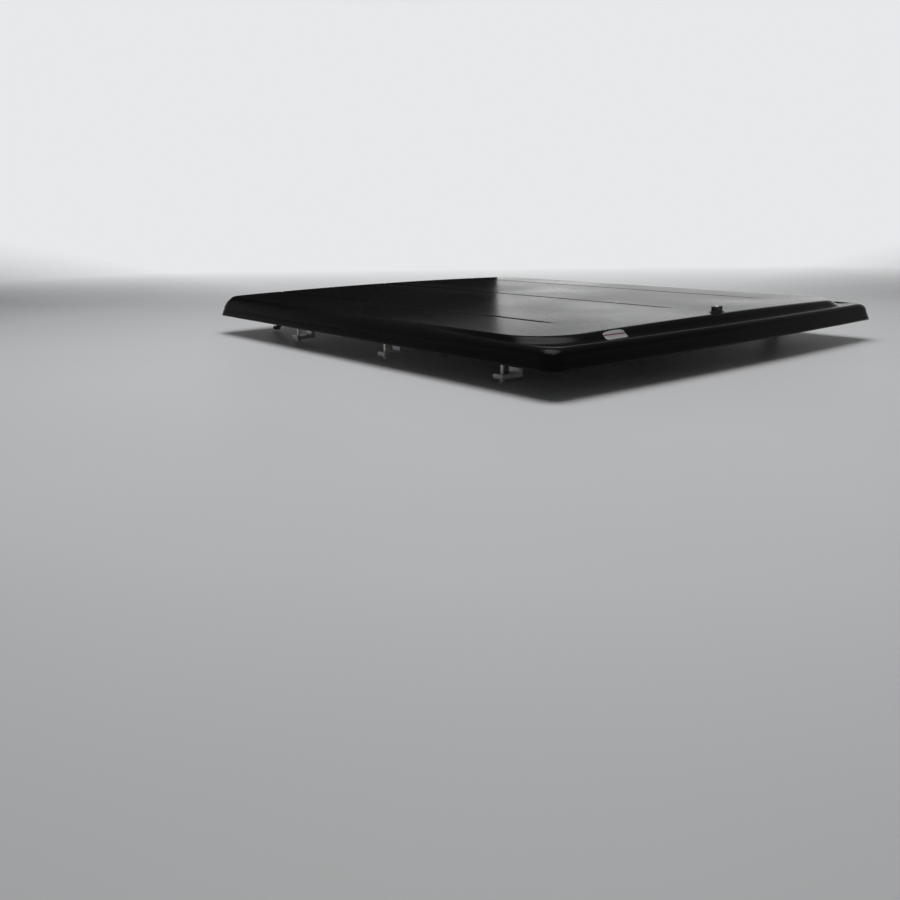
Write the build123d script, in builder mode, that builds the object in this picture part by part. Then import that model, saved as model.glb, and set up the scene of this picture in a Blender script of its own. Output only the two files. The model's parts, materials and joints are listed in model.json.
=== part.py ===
from build123d import *
from math import atan2, cos, degrees, hypot, radians, sin
import os

# Hard one-piece tonneau cover for a pickup bed, closed and unlocked.
# Millimetres. +X is the truck's right, +Y its cab, +Z up. It stands on its clamp bolts at z = 0.

# Overall sizes
cover_length = 1880
cover_width = 1640
clamp_height = 97  # from the clamp bolts' heads up to the seat on the bed rails
skirt_overlap = 22  # how far the skirt hangs below that seat

# Lid shell
skin_wall = 4
ledge_above_rail = 9  # from the rails' top up to the ledge
skirt_draft = 9
front_draft = 2
shoulder_radius = 11
rear_bow = 18
rear_corner_radius = 35
front_corner_radius = 50
panel_rise = 28  # from the ledge up to the crown's highest line
crown_drop = 10
panel_side_base = 30
panel_side_run = 23
panel_rear_base = 52
panel_rear_run = 50
panel_front_base = 1
panel_front_run = 3
panel_rear_radius = 150
panel_front_radius = 40
front_cut_inset = 60
front_lip_drop = 11
crease_spacing = 530
crease_width = 7
crease_depth = 1.2
crease_end_inset = 300  # the creases stop this far ahead of the rear edge

# Rails on the bed
seal_thickness = 3
rail_height = 18
rail_width = 50
rail_side_inset = 80  # from the cover's side to the rail
rail_wall = 2.5
shelf_width = 28
shelf_thickness = 4
rail_rear_inset = 50
header_width = 40
header_front_inset = 20
key_length = 40
key_clearance = 0.2
cap_thickness = 5

# Lid structure
liner_gap = 10  # from the rail's top up to the liner
liner_thickness = 3
liner_side_inset = 55
liner_rear_inset = 72
liner_front_inset = 102
liner_corner_radius = 120
pocket_depth = 1.2
core_gap = 0.2
tube_size = 20
tube_wall = 2
frame_side_gap = 74.5  # from the rail's shelf to the side tube's middle
frame_rear_inset = 150
bulb_width = 12
bulb_gap = 0.4
bulb_wall = 2
tailgate_seal_inset = 40
tailgate_seal_reach = 6  # how far its bulb hangs below the ledge, past the rail's height

# Hinges
hinge_inset = 55  # hinge line, from the front edge
hinge_rise = 15  # hinge line above the header
hinge_inset_x = 37.5  # from the side tube's middle in to the hinge
knuckle_radius = 9
knuckle_width = 39
ear_width = 10
knuckle_gap = 0.5
pin_radius = 5
pin_clearance = 0.08
pin_knob_radius = 7.5
pin_knob_length = 11
leaf_thickness = 4

# Gas struts
strut_gap = 17.5  # from the side tube's face out to the strut's middle
lid_stud_back = 320  # behind the hinge line
lid_stud_drop = 16  # below the hinge line
rail_stud_back = 40
rail_stud_drop = 120
ball_radius = 4
stud_radius = 2.6
socket_wall = 1.4
socket_inner = 5.6
socket_outer = 8.5
socket_clearance = 0.4
open_pivot_clearance = 2.6
collar_length = 16
collar_radius = 6.5
cylinder_radius = 9
cylinder_length = 175
cylinder_wall = 1.6
neck_radius = 4.6
gland_length = 10
strut_rod_radius = 4
strut_rod_clearance = 0.08
strut_plate = 4
strut_plate_back = 15  # from the strut's middle in to the plate

# Lock
handle_inset = 118
handle_length = 40
handle_depth = 22
handle_height = 15
escutcheon_thickness = 2
escutcheon_overhang = 4
barrel_radius = 14
barrel_hole_gap = 0.3
barrel_nut_wall = 7
escutcheon_rim = 2.5
shaft_radius = 7
shaft_clearance = 0.08
disc_rim = 6  # disc beyond the crank pins' circle
disc_drop = 11  # from the liner down to the disc
disc_thickness = 4
crank_radius = 16
crank_pin_radius = 2.5
yoke_clearance = 0.7
yoke_thickness = 4
latch_rod_radius = 4
guide_clearance = 0.4
guide_inner_x = 330
guide_back = 20  # from the latch rod's tip in to the outer guide
guide_half = 9
latch_tip_gap = 11
striker_inset = 4  # from the shelf's edge
striker_thickness = 4
striker_foot = 3
striker_reach = 30
striker_screw_reach = 23
striker_notch = 8  # half the gap between the two feet, where the latch rod passes
plug_radius = 6
plug_clearance = 0.08

# Clamps
clamp_spacing = 560
clamp_width = 40
clamp_back = 15
clamp_arm = 8
clamp_jaw = 12
clamp_reach = 61
clamp_bolt_radius = 5
clamp_bolt_head = 7
clamp_bolt_flats = 17
clamp_bolt_inset = 34  # from the rail's outer face
pad_radius = 12
pad_thickness = 6
pad_height = 50

# Small fasteners and trim
screw_radius = 3
screw_head_radius = 5.5
screw_head_height = 3
screw_clearance = 0.2
screw_spacing = 22
badge_length = 84
badge_height = 26
badge_thickness = 2.5
badge_side_inset = 294
badge_inset = 66
badge_sink = 0.5

# Places that follow from the sizes above
front = cover_length / 2
rear = -cover_length / 2
seat_z = clamp_height
rail_z = seat_z + seal_thickness
rail_top = rail_z + rail_height
skirt_z = seat_z - skirt_overlap
ledge_z = rail_top + ledge_above_rail
skirt_height = ledge_z - skirt_z
crown_z = ledge_z + panel_rise
liner_z = rail_top + liner_gap
core_z = liner_z + liner_thickness
rail_outer_x = cover_width / 2 - rail_side_inset
rail_inner_x = rail_outer_x - rail_width
shelf_inner_x = rail_inner_x - shelf_width
frame_half_width = shelf_inner_x - frame_side_gap
hinge_x = frame_half_width - hinge_inset_x
strut_x = frame_half_width + tube_size / 2 + strut_gap
strut_plate_x = strut_x - strut_plate_back
striker_x = shelf_inner_x + striker_inset
latch_tip_x = striker_x - latch_tip_gap
guide_places = (guide_inner_x, latch_tip_x - guide_back)
clamp_bolt_x = rail_outer_x - clamp_bolt_inset
badge_x = badge_side_inset - cover_width / 2
rail_rear = rear + rail_rear_inset
header_front = front - header_front_inset
header_rear = header_front - header_width
tube_z = liner_z - tube_size
tailgate_seal_depth = rail_height + tailgate_seal_reach
frame_rear = rear + frame_rear_inset
liner_front = front - liner_front_inset
liner_rear = rear + liner_rear_inset
frame_front = liner_front + tube_size + 2
hinge_y = front - hinge_inset
hinge_z = rail_top + hinge_rise
handle_y = rear + handle_inset
leaf_screw_y = frame_front - tube_size / 2
base_screw_y = header_front - 13
hinge_screw_x = (hinge_x - screw_spacing / 2, hinge_x + screw_spacing / 2)
rod_offset = crank_radius * (1 + cos(radians(45))) / 2
socket_radius = ball_radius + open_pivot_clearance + socket_wall
disc_radius = crank_radius + disc_rim
striker_screw_x = (striker_x + rail_inner_x + 2) / 2
lid_stud = (strut_x, hinge_y - lid_stud_back, hinge_z - lid_stud_drop)
rail_stud = (strut_x, hinge_y - rail_stud_back, hinge_z - rail_stud_drop)
strut_direction = Vector(*lid_stud) - Vector(*rail_stud)
strut_length = strut_direction.length

os.makedirs("parts", exist_ok=True)


def save(piece, name):
    piece.label = name
    export_step(piece, f"parts/{name}.step")


def save_both_sides(piece, name):
    save(piece, f"{name}_right")
    with BuildPart() as other_side:
        mirror(piece, about=Plane.YZ)
    save(other_side.part, f"{name}_left")


def block(x, y, z, mode=Mode.ADD):
    with Locations(((x[0] + x[1]) / 2, (y[0] + y[1]) / 2, (z[0] + z[1]) / 2)):
        Box(x[1] - x[0], y[1] - y[0], z[1] - z[0], mode=mode)


def post(radius, centre, bottom, top, mode=Mode.ADD):
    with Locations((centre[0], centre[1], (bottom + top) / 2)):
        Cylinder(radius, top - bottom, mode=mode)


def cross_pin(radius, x, y, z, mode=Mode.ADD):
    with Locations(((x[0] + x[1]) / 2, y, z)):
        Cylinder(radius, abs(x[1] - x[0]), rotation=(0, 90, 0), mode=mode)


def screw(place, top, depth):
    post(screw_head_radius, place, top, top + screw_head_height)
    post(screw_radius, place, top - depth, top)


def screw_hole(place, bottom, top):
    post(screw_radius + screw_clearance, place, bottom - 1, top + 1, Mode.SUBTRACT)


def plan_outline(height, side_inset, rear_inset, front_inset, rear_radius, front_radius):
    side = cover_width / 2 - side_inset
    back = rear + rear_inset
    ahead = front - front_inset
    with BuildSketch(Plane.XY.offset(height)) as outline:
        with BuildLine():
            ThreePointArc((-side, back + rear_bow), (0, back), (side, back + rear_bow))
            Polyline((side, back + rear_bow), (side, ahead), (-side, ahead), (-side, back + rear_bow))
        make_face()
        fillet(outline.vertices().group_by(Axis.Y)[-1], front_radius)
        rear_corners = outline.vertices().filter_by(lambda v: abs(v.Y - back - rear_bow) < 0.01)
        fillet(rear_corners, rear_radius)
    return outline.sketch


def cut_above_crown(lowered):
    # everything above the crowned top line goes, across the whole cover
    reach = cover_width / 2 + 10
    panel_half = cover_width / 2 - panel_side_base
    middle = crown_z - lowered
    side = middle - crown_drop * (reach / panel_half) ** 2
    with BuildSketch(Plane.XZ) as above:
        with BuildLine():
            ThreePointArc((-reach, side), (0, middle), (reach, side))
            Polyline((reach, side), (reach, crown_z + 60), (-reach, crown_z + 60), (-reach, side))
        make_face()
    extrude(above.sketch, amount=cover_length, both=True, mode=Mode.SUBTRACT)


def slope_inset(base, run, height, wall):
    # the panel's sloped edge at one height, moved in by the wall's thickness; base is at the ledge
    return base + (height - ledge_z) * run / panel_rise + wall * hypot(run, panel_rise) / panel_rise


def lid_volume(wall):
    bottom = skirt_z - wall
    ledge = ledge_z - wall
    with BuildPart() as volume:
        skirt_outlines = []
        for height in (bottom, ledge):
            inset = wall + (height - skirt_z) * skirt_draft / skirt_height
            front_inset = wall + (height - skirt_z) * front_draft / skirt_height
            corners = rear_corner_radius - wall, front_corner_radius - wall
            skirt_outlines.append(plan_outline(height, inset, inset, front_inset, *corners))
        loft(skirt_outlines)
        fillet(edges().group_by(Axis.Z)[-1], shoulder_radius - wall)
        panel_outlines = []
        for height in (ledge - shoulder_radius, crown_z + 2):
            side = slope_inset(panel_side_base, panel_side_run, height, wall)
            back = slope_inset(panel_rear_base, panel_rear_run, height, wall)
            ahead = slope_inset(panel_front_base, panel_front_run, height, wall)
            corners = panel_rear_radius - wall, panel_front_radius - wall
            panel_outlines.append(plan_outline(height, side, back, ahead, *corners))
        loft(panel_outlines)
        cut_above_crown(wall)
    return volume.part


# Lid skin: skirt, ledge and raised panel in one moulding
outer_volume = lid_volume(0)
inner_volume = lid_volume(skin_wall)
with BuildPart() as lid_skin:
    add(outer_volume)
    add(inner_volume, mode=Mode.SUBTRACT)
    front_cut = cover_width / 2 - front_cut_inset
    lip_z = ledge_z - front_lip_drop
    block((-front_cut, front_cut), (front - front_cut_inset, front + 1), (skirt_z - 1, lip_z), Mode.SUBTRACT)
    for x in (-crease_spacing, 0, crease_spacing):
        top = crown_z - crown_drop * (x / (cover_width / 2 - panel_side_base)) ** 2
        with BuildSketch(Plane.XZ.offset(-front)):
            with Locations((x, top)):
                Rectangle(crease_width, 2 * crease_depth)
        extrude(amount=cover_length - crease_end_inset, mode=Mode.SUBTRACT)
    post(barrel_radius + barrel_hole_gap, (0, handle_y), ledge_z, crown_z + 5, Mode.SUBTRACT)
save(lid_skin.part, "lid_skin")

# Core that stiffens the skin, and the liner that closes it from below
with BuildPart() as lid_core:
    core_inset = liner_side_inset + 5
    core_rear_inset = panel_rear_base + panel_rear_run + 4
    core_front_inset = liner_front_inset + 5
    core_insets = core_inset, core_rear_inset, core_front_inset
    extrude(plan_outline(core_z, *core_insets, liner_corner_radius, 20), amount=panel_rise)
    cut_above_crown(skin_wall + core_gap)
    post(barrel_radius + 6, (0, handle_y), core_z - 1, crown_z, Mode.SUBTRACT)
save(lid_core.part, "lid_core")

with BuildPart() as lid_liner:
    liner_insets = liner_side_inset, liner_rear_inset, liner_front_inset
    extrude(plan_outline(liner_z, *liner_insets, liner_corner_radius, 20), amount=liner_thickness)
    frame_length = frame_front - frame_rear
    bay = (frame_length - tube_size) / 3
    with BuildSketch(Plane.XY.offset(liner_z)):
        with Locations((0, (frame_front + frame_rear) / 2)):
            with GridLocations(2 * frame_half_width / 3, bay, 3, 3):
                RectangleRounded(2 * frame_half_width / 3 - 60, bay - 60, 24)
    extrude(amount=pocket_depth, mode=Mode.SUBTRACT)
    post(barrel_radius + barrel_hole_gap, (0, handle_y), liner_z - 1, core_z + 1, Mode.SUBTRACT)
save(lid_liner.part, "lid_liner")

# Tube frame under the liner
tube_inner = tube_size - 2 * tube_wall
with BuildPart() as frame_tube:
    with BuildSketch(Plane.XZ.offset(-frame_rear)):
        with Locations((frame_half_width, tube_z + tube_size / 2)):
            RectangleRounded(tube_size, tube_size, 2)
            RectangleRounded(tube_inner, tube_inner, 1, mode=Mode.SUBTRACT)
    extrude(amount=-(frame_front - frame_rear))
save_both_sides(frame_tube.part, "frame_tube")

crossbar_names = ("crossbar_rear", "crossbar_middle_rear", "crossbar_middle_front", "crossbar_front")
crossbar_step = (frame_front - frame_rear - tube_size) / (len(crossbar_names) - 1)
crossbar_reach = frame_half_width - tube_size / 2
for place, crossbar_name in enumerate(crossbar_names):
    with BuildPart() as crossbar:
        with BuildSketch(Plane.YZ.offset(-crossbar_reach)):
            with Locations((frame_rear + tube_size / 2 + place * crossbar_step, tube_z + tube_size / 2)):
                RectangleRounded(tube_size, tube_size, 2)
                RectangleRounded(tube_inner, tube_inner, 1, mode=Mode.SUBTRACT)
        extrude(amount=2 * crossbar_reach)
        if crossbar_name == "crossbar_front":
            for x in hinge_screw_x:
                for side in (-1, 1):
                    screw_hole((side * x, leaf_screw_y), liner_z - tube_wall, liner_z)
    save(crossbar.part, crossbar_name)

# Bulb seals under the lid, over the side rails and the tailgate
bulb_x = (rail_inner_x + rail_outer_x) / 2
with BuildPart() as lid_seal:
    with BuildSketch(Plane.XZ.offset(-liner_rear - rear_bow - 30)):
        bulb_height = liner_gap - bulb_gap
        with Locations((bulb_x, liner_z - bulb_height / 2)):
            RectangleRounded(bulb_width, bulb_height, bulb_height / 2 - 0.1)
            inner_height = bulb_height - 2 * bulb_wall
            inner_width = bulb_width - 2 * bulb_wall
            RectangleRounded(inner_width, inner_height, inner_height / 2 - 0.1, mode=Mode.SUBTRACT)
        with Locations((bulb_x, liner_z - bulb_wall / 2)):
            Rectangle(bulb_width, bulb_wall)
    extrude(amount=-(liner_front - liner_rear - rear_bow - 40))
save_both_sides(lid_seal.part, "lid_seal")

with BuildPart() as tailgate_seal:
    seal_top = ledge_z - skin_wall
    seal_half = rail_outer_x - 40
    seal_y = rear + tailgate_seal_inset
    with BuildSketch(Plane.YZ.offset(-seal_half)):
        with Locations((seal_y, seal_top - 1.5)):
            Rectangle(14, 3)
        with Locations((seal_y, seal_top - tailgate_seal_depth / 2)):
            Rectangle(3, tailgate_seal_depth)
        with Locations((seal_y, seal_top - tailgate_seal_depth)):
            Circle(5.5)
            Circle(3.5, mode=Mode.SUBTRACT)
    extrude(amount=2 * seal_half)
save(tailgate_seal.part, "tailgate_seal")

# Side rails, header and the cast keys that join them
with BuildPart() as side_rail:
    with BuildSketch(Plane.XZ.offset(-rail_rear)):
        with Locations((rail_outer_x - rail_width / 2, rail_z + rail_height / 2)):
            RectangleRounded(rail_width, rail_height, 2)
            Rectangle(rail_width - 2 * rail_wall, rail_height - 2 * rail_wall, mode=Mode.SUBTRACT)
        with Locations((rail_inner_x - shelf_width / 2 + 1, rail_z + shelf_thickness / 2)):
            Rectangle(shelf_width + 2, shelf_thickness)
        with Locations((rail_inner_x + 1, rail_z + 1)):
            Rectangle(2, 2)
    extrude(amount=-(header_rear - rail_rear))
    for row in (-1, 1):
        # one drilling suits both sides: the two strikers sit either side of the handle line
        for y in (-striker_screw_reach, striker_screw_reach):
            place = (striker_screw_x, handle_y + row * rod_offset + y)
            screw_hole(place, rail_z, rail_z + shelf_thickness)
save_both_sides(side_rail.part, "side_rail")

with BuildPart() as header_rail:
    with BuildSketch(Plane.YZ.offset(-rail_inner_x)):
        with Locations(((header_front + header_rear) / 2, rail_z + rail_height / 2)):
            RectangleRounded(header_width, rail_height, 2)
            Rectangle(header_width - 2 * rail_wall, rail_height - 2 * rail_wall, mode=Mode.SUBTRACT)
    extrude(amount=2 * rail_inner_x)
    for x in hinge_screw_x:
        for side in (-1, 1):
            screw_hole((side * x, base_screw_y), rail_top - rail_wall, rail_top)
save(header_rail.part, "header_rail")

key_height = rail_height - 2 * rail_wall - 2 * key_clearance
with BuildPart() as corner_key:
    block((rail_inner_x, rail_outer_x), (header_rear, header_front), (rail_z, rail_top))
    fillet(edges().filter_by(Axis.Z).sort_by_distance((rail_outer_x, header_front, rail_z))[0], 14)
    key_z = (rail_top + rail_z - key_height) / 2, (rail_top + rail_z + key_height) / 2
    key_edge = rail_wall + key_clearance
    block(
        (rail_inner_x + key_edge, rail_outer_x - key_edge),
        (header_rear - key_length, header_rear),
        key_z,
    )
    block(
        (rail_inner_x - key_length, rail_inner_x),
        (header_rear + key_edge, header_front - key_edge),
        key_z,
    )
save_both_sides(corner_key.part, "corner_key")

with BuildPart() as rail_end_caps:
    block((rail_inner_x, rail_outer_x), (rail_rear - cap_thickness, rail_rear), (rail_z, rail_top))
    fillet(edges().group_by(Axis.Y)[0], 2)
    block((rail_inner_x + key_edge, rail_outer_x - key_edge), (rail_rear, rail_rear + 15), key_z)
    mirror(about=Plane.YZ)
save(rail_end_caps.part, "rail_end_caps")

# Foam tape under the rails and a weatherstrip on the header
with BuildPart() as rail_foam:
    block((rail_inner_x + 2, rail_outer_x - 2), (rail_rear, header_front - 3), (seat_z, rail_z))
save_both_sides(rail_foam.part, "rail_foam")

with BuildPart() as header_foam:
    block((3 - rail_inner_x, rail_inner_x - 3), (header_rear + 3, header_front - 3), (seat_z, rail_z))
save(header_foam.part, "header_foam")

strip_reach = hinge_x - knuckle_width
with BuildPart() as header_strip:
    strip_y = header_front - 14
    with BuildSketch(Plane.YZ.offset(-strip_reach)):
        with Locations((strip_y, rail_top + 1)):
            Rectangle(14, 2)
        with Locations((strip_y, rail_top + 4.7)):
            Circle(4)
            Circle(2.4, mode=Mode.SUBTRACT)
    extrude(amount=2 * strip_reach)
save(header_strip.part, "header_strip")

# Hinges with pull-out pins
knuckle_x = (hinge_x - knuckle_width / 2, hinge_x + knuckle_width / 2)
ear_x = (knuckle_x[0] - knuckle_gap - ear_width, knuckle_x[1] + knuckle_gap + ear_width)
base_thickness = 4
with BuildPart() as hinge_base:
    with BuildSketch(Plane.YZ.offset(ear_x[0])):
        with BuildLine():
            Polyline(
                (hinge_y - knuckle_radius, hinge_z),
                (hinge_y - 1, rail_top),
                (header_front - 6, rail_top),
                (header_front - 6, rail_top + base_thickness),
                (hinge_y + knuckle_radius, hinge_z),
                (hinge_y - knuckle_radius, hinge_z),
            )
        make_face()
        with Locations((hinge_y, hinge_z)):
            Circle(knuckle_radius)
    extrude(amount=ear_x[1] - ear_x[0])
    block(
        (ear_x[0] + ear_width, ear_x[1] - ear_width),
        (hinge_y - knuckle_radius - 1, header_front),
        (rail_top + base_thickness, hinge_z + knuckle_radius + 1),
        Mode.SUBTRACT,
    )
    cross_pin(pin_radius + pin_clearance, ear_x, hinge_y, hinge_z, Mode.SUBTRACT)
    for x in hinge_screw_x:
        screw_hole((x, base_screw_y), rail_top, rail_top + base_thickness)
save_both_sides(hinge_base.part, "hinge_base")

with BuildPart() as hinge_leaf:
    cross_pin(knuckle_radius, knuckle_x, hinge_y, hinge_z)
    block(knuckle_x, (frame_front - tube_size, hinge_y), (liner_z, liner_z + leaf_thickness))
    cross_pin(pin_radius + pin_clearance, knuckle_x, hinge_y, hinge_z, Mode.SUBTRACT)
    for x in hinge_screw_x:
        screw_hole((x, leaf_screw_y), liner_z, liner_z + leaf_thickness)
save_both_sides(hinge_leaf.part, "hinge_leaf")

with BuildPart() as hinge_pin:
    knob_x = ear_x[0] - 2 - pin_knob_length
    cross_pin(pin_radius, (knob_x, ear_x[1] + 3), hinge_y, hinge_z)
    chamfer(edges().group_by(Axis.X)[-1], 1)
    cross_pin(pin_knob_radius, (knob_x, knob_x + pin_knob_length), hinge_y, hinge_z)
    fillet(edges().group_by(Axis.X)[0], 1.5)
save_both_sides(hinge_pin.part, "hinge_pin")

with BuildPart() as leaf_screws:
    for side in (-1, 1):
        for x in hinge_screw_x:
            screw((side * x, leaf_screw_y), liner_z + leaf_thickness, leaf_thickness + tube_wall + 4)
save(leaf_screws.part, "leaf_screws")


# Gas struts, built along the line between their two studs
def strut_point(distance):
    share = distance / strut_length
    return tuple(low + share * (high - low) for low, high in zip(rail_stud, lid_stud))


def strut_plane(distance):
    return Plane(origin=strut_point(distance), x_dir=(1, 0, 0), z_dir=strut_direction)


def strut_socket(stud):
    cross_pin(socket_radius, (strut_x - socket_inner, strut_x + socket_outer), stud[1], stud[2])


def socket_hollow(stud, clearance):
    # room for the ball, and a mouth towards the bracket for its neck
    with Locations(stud):
        Sphere(ball_radius + clearance, mode=Mode.SUBTRACT)
    cross_pin(stud_radius + clearance, (strut_x - 8, strut_x), stud[1], stud[2], Mode.SUBTRACT)


with BuildPart() as strut_cylinder:
    with BuildSketch(Plane(origin=rail_stud, x_dir=strut_direction, z_dir=(1, 0, 0))):
        with BuildLine():
            Polyline(
                (ball_radius + 1, 0),
                (ball_radius + 1, neck_radius),
                (socket_radius + 6, neck_radius),
                (socket_radius + 6, cylinder_radius - 1),
                (socket_radius + 7, cylinder_radius),
                (cylinder_length - 1, cylinder_radius),
                (cylinder_length, cylinder_radius - 1),
                (cylinder_length, strut_rod_radius + strut_rod_clearance),
                (cylinder_length - gland_length, strut_rod_radius + strut_rod_clearance),
                (cylinder_length - gland_length, cylinder_radius - cylinder_wall),
                (socket_radius + 10, cylinder_radius - cylinder_wall),
                (socket_radius + 10, 0),
                (ball_radius + 1, 0),
            )
        make_face()
    revolve(axis=Axis(rail_stud, strut_direction))
    strut_socket(rail_stud)
    socket_hollow(rail_stud, socket_clearance)
save_both_sides(strut_cylinder.part, "strut_cylinder")

with BuildPart() as strut_rod:
    rod_start = cylinder_length - 85
    with BuildSketch(strut_plane(rod_start)):
        Circle(strut_rod_radius)
    extrude(amount=strut_length - rod_start - socket_radius)
save_both_sides(strut_rod.part, "strut_rod")

with BuildPart() as strut_upper_socket:
    collar_start = strut_length - socket_radius - collar_length
    with BuildSketch(strut_plane(collar_start)):
        Circle(collar_radius)
    extrude(amount=collar_length + 4)
    with BuildSketch(strut_plane(collar_start - 1)):
        Circle(strut_rod_radius)
    extrude(amount=collar_length + 1, mode=Mode.SUBTRACT)
    strut_socket(lid_stud)
    socket_hollow(lid_stud, open_pivot_clearance)
save_both_sides(strut_upper_socket.part, "strut_upper_socket")

with BuildPart() as strut_lid_bracket:
    plate_x = (frame_half_width + tube_size / 2, frame_half_width + tube_size / 2 + strut_plate)
    block(plate_x, (lid_stud[1] - 28, lid_stud[1] + 28), (tube_z + 1, liner_z - 0.5))
    fillet(edges().filter_by(Axis.X), 4)
    cross_pin(stud_radius, (plate_x[1], strut_x), lid_stud[1], lid_stud[2])
    with Locations(lid_stud):
        Sphere(ball_radius)
save_both_sides(strut_lid_bracket.part, "strut_lid_bracket")

with BuildPart() as strut_rail_bracket:
    web_x = (strut_plate_x, strut_plate_x + strut_plate)
    with BuildSketch(Plane.YZ.offset(web_x[0])):
        with BuildLine():
            Polyline(
                (header_rear, rail_top),
                (header_rear, rail_z),
                (rail_stud[1] + 14, rail_stud[2] - 8),
                (rail_stud[1] - 12, rail_stud[2] - 8),
                (rail_stud[1] - 12, rail_stud[2] + 12),
                (header_rear - 20, rail_top),
                (header_rear, rail_top),
            )
        make_face()
        fillet(vertices().group_by(Axis.Y)[0], 6)
    extrude(amount=strut_plate)
    block((web_x[0] - 26, web_x[1]), (header_rear - strut_plate, header_rear), (rail_z, rail_top))
    cross_pin(stud_radius, (web_x[1], strut_x), rail_stud[1], rail_stud[2])
    with Locations(rail_stud):
        Sphere(ball_radius)
save_both_sides(strut_rail_bracket.part, "strut_rail_bracket")

# Twist handle, its lock plug and the crank that works the latch rods
with BuildPart() as escutcheon:
    with BuildSketch(Plane.XY.offset(crown_z)):
        with Locations((0, handle_y)):
            escutcheon_depth = 2 * (barrel_radius + escutcheon_rim)
            RectangleRounded(handle_length + 2 * escutcheon_overhang, escutcheon_depth, 12)
    extrude(amount=escutcheon_thickness)
    fillet(edges().group_by(Axis.Z)[-1], escutcheon_thickness / 2)
    post(barrel_radius, (0, handle_y), crown_z - 1, crown_z + escutcheon_thickness + 1, Mode.SUBTRACT)
save(escutcheon.part, "escutcheon")

disc_top = liner_z - disc_drop
handle_z = crown_z + escutcheon_thickness + 0.4
with BuildPart() as lock_barrel:
    post(barrel_radius, (0, handle_y), disc_top + 0.5, crown_z + escutcheon_thickness)
    post(shaft_radius + shaft_clearance, (0, handle_y), disc_top, handle_z, Mode.SUBTRACT)
save(lock_barrel.part, "lock_barrel")

with BuildPart() as barrel_nut:
    with BuildSketch(Plane.XY.offset(disc_top + 2)):
        with Locations((0, handle_y)):
            RegularPolygon(barrel_radius + barrel_nut_wall, 6)
            Circle(barrel_radius, mode=Mode.SUBTRACT)
    extrude(amount=liner_z - disc_top - 2)
save(barrel_nut.part, "barrel_nut")

with BuildPart() as twist_handle:
    with BuildSketch(Plane.XY.offset(handle_z)):
        with Locations((0, handle_y)):
            RectangleRounded(handle_length, handle_depth, 9)
    extrude(amount=handle_height)
    fillet(edges().group_by(Axis.Z)[-1], 3)
    post(shaft_radius, (0, handle_y), disc_top, handle_z)
    post(plug_radius + plug_clearance, (0, handle_y), handle_z + 2, handle_z + 20, Mode.SUBTRACT)
save(twist_handle.part, "twist_handle")

with BuildPart() as lock_plug:
    plug_top = handle_z + handle_height + 0.6
    post(plug_radius, (0, handle_y), handle_z + 2.4, plug_top)
    chamfer(edges().group_by(Axis.Z)[-1], 0.5)
    block((-3.4, 3.4), (handle_y - 0.6, handle_y + 0.6), (plug_top - 5, plug_top + 1), Mode.SUBTRACT)
save(lock_plug.part, "lock_plug")

crank_angle = radians(45)
crank_x = crank_radius * sin(crank_angle)
crank_y = crank_radius * cos(crank_angle)
yoke_top = disc_top - disc_thickness - 2
with BuildPart() as crank_disc:
    post(disc_radius, (0, handle_y), disc_top - disc_thickness, disc_top)
    for side in (-1, 1):
        pin_place = (-side * crank_x, handle_y + side * crank_y)
        pin_bottom = yoke_top - yoke_thickness - 1
        post(crank_pin_radius, pin_place, pin_bottom, disc_top - disc_thickness)
    fillet(edges().group_by(Axis.Z)[-1], 1)
save(crank_disc.part, "crank_disc")

latch_travel = 2 * crank_x
rod_z = yoke_top - yoke_thickness / 2
slot_half = crank_pin_radius + yoke_clearance


def latch_rod(side):
    # the slotted yoke takes a crank pin; the rod runs out from it to the bolt end
    rod_y = handle_y + side * rod_offset
    with BuildPart() as rod:
        inner = -side * (crank_x + slot_half + 3.5)
        yoke_x = sorted((inner, side * 34))
        block(
            yoke_x,
            (rod_y - crank_radius / 2 - 1, rod_y + crank_radius / 2 + 1),
            (yoke_top - yoke_thickness, yoke_top),
        )
        slot_x = -side * crank_x
        slot_reach = (crank_radius - crank_y) / 2 + slot_half
        block(
            (slot_x - slot_half, slot_x + slot_half),
            (rod_y - slot_reach, rod_y + slot_reach),
            (yoke_top - yoke_thickness, yoke_top),
            Mode.SUBTRACT,
        )
        cross_pin(latch_rod_radius, sorted((side * 30, side * latch_tip_x)), rod_y, rod_z)
        tip = edges().filter_by(GeomType.CIRCLE).sort_by(Axis.X)[-1 if side > 0 else 0]
        chamfer(tip, 1.5)
    return rod.part


save(latch_rod(1), "latch_rod_right")
save(latch_rod(-1), "latch_rod_left")

with BuildPart() as rod_guides:
    for side in (-1, 1):
        rod_y = handle_y + side * rod_offset
        for x in guide_places:
            guide_x = sorted((side * (x - guide_half), side * (x + guide_half)))
            block(guide_x, (rod_y - guide_half, rod_y + guide_half), (rod_z - 8, liner_z))
            cross_pin(latch_rod_radius + guide_clearance, guide_x, rod_y, rod_z, Mode.SUBTRACT)
save(rod_guides.part, "rod_guides")


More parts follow.
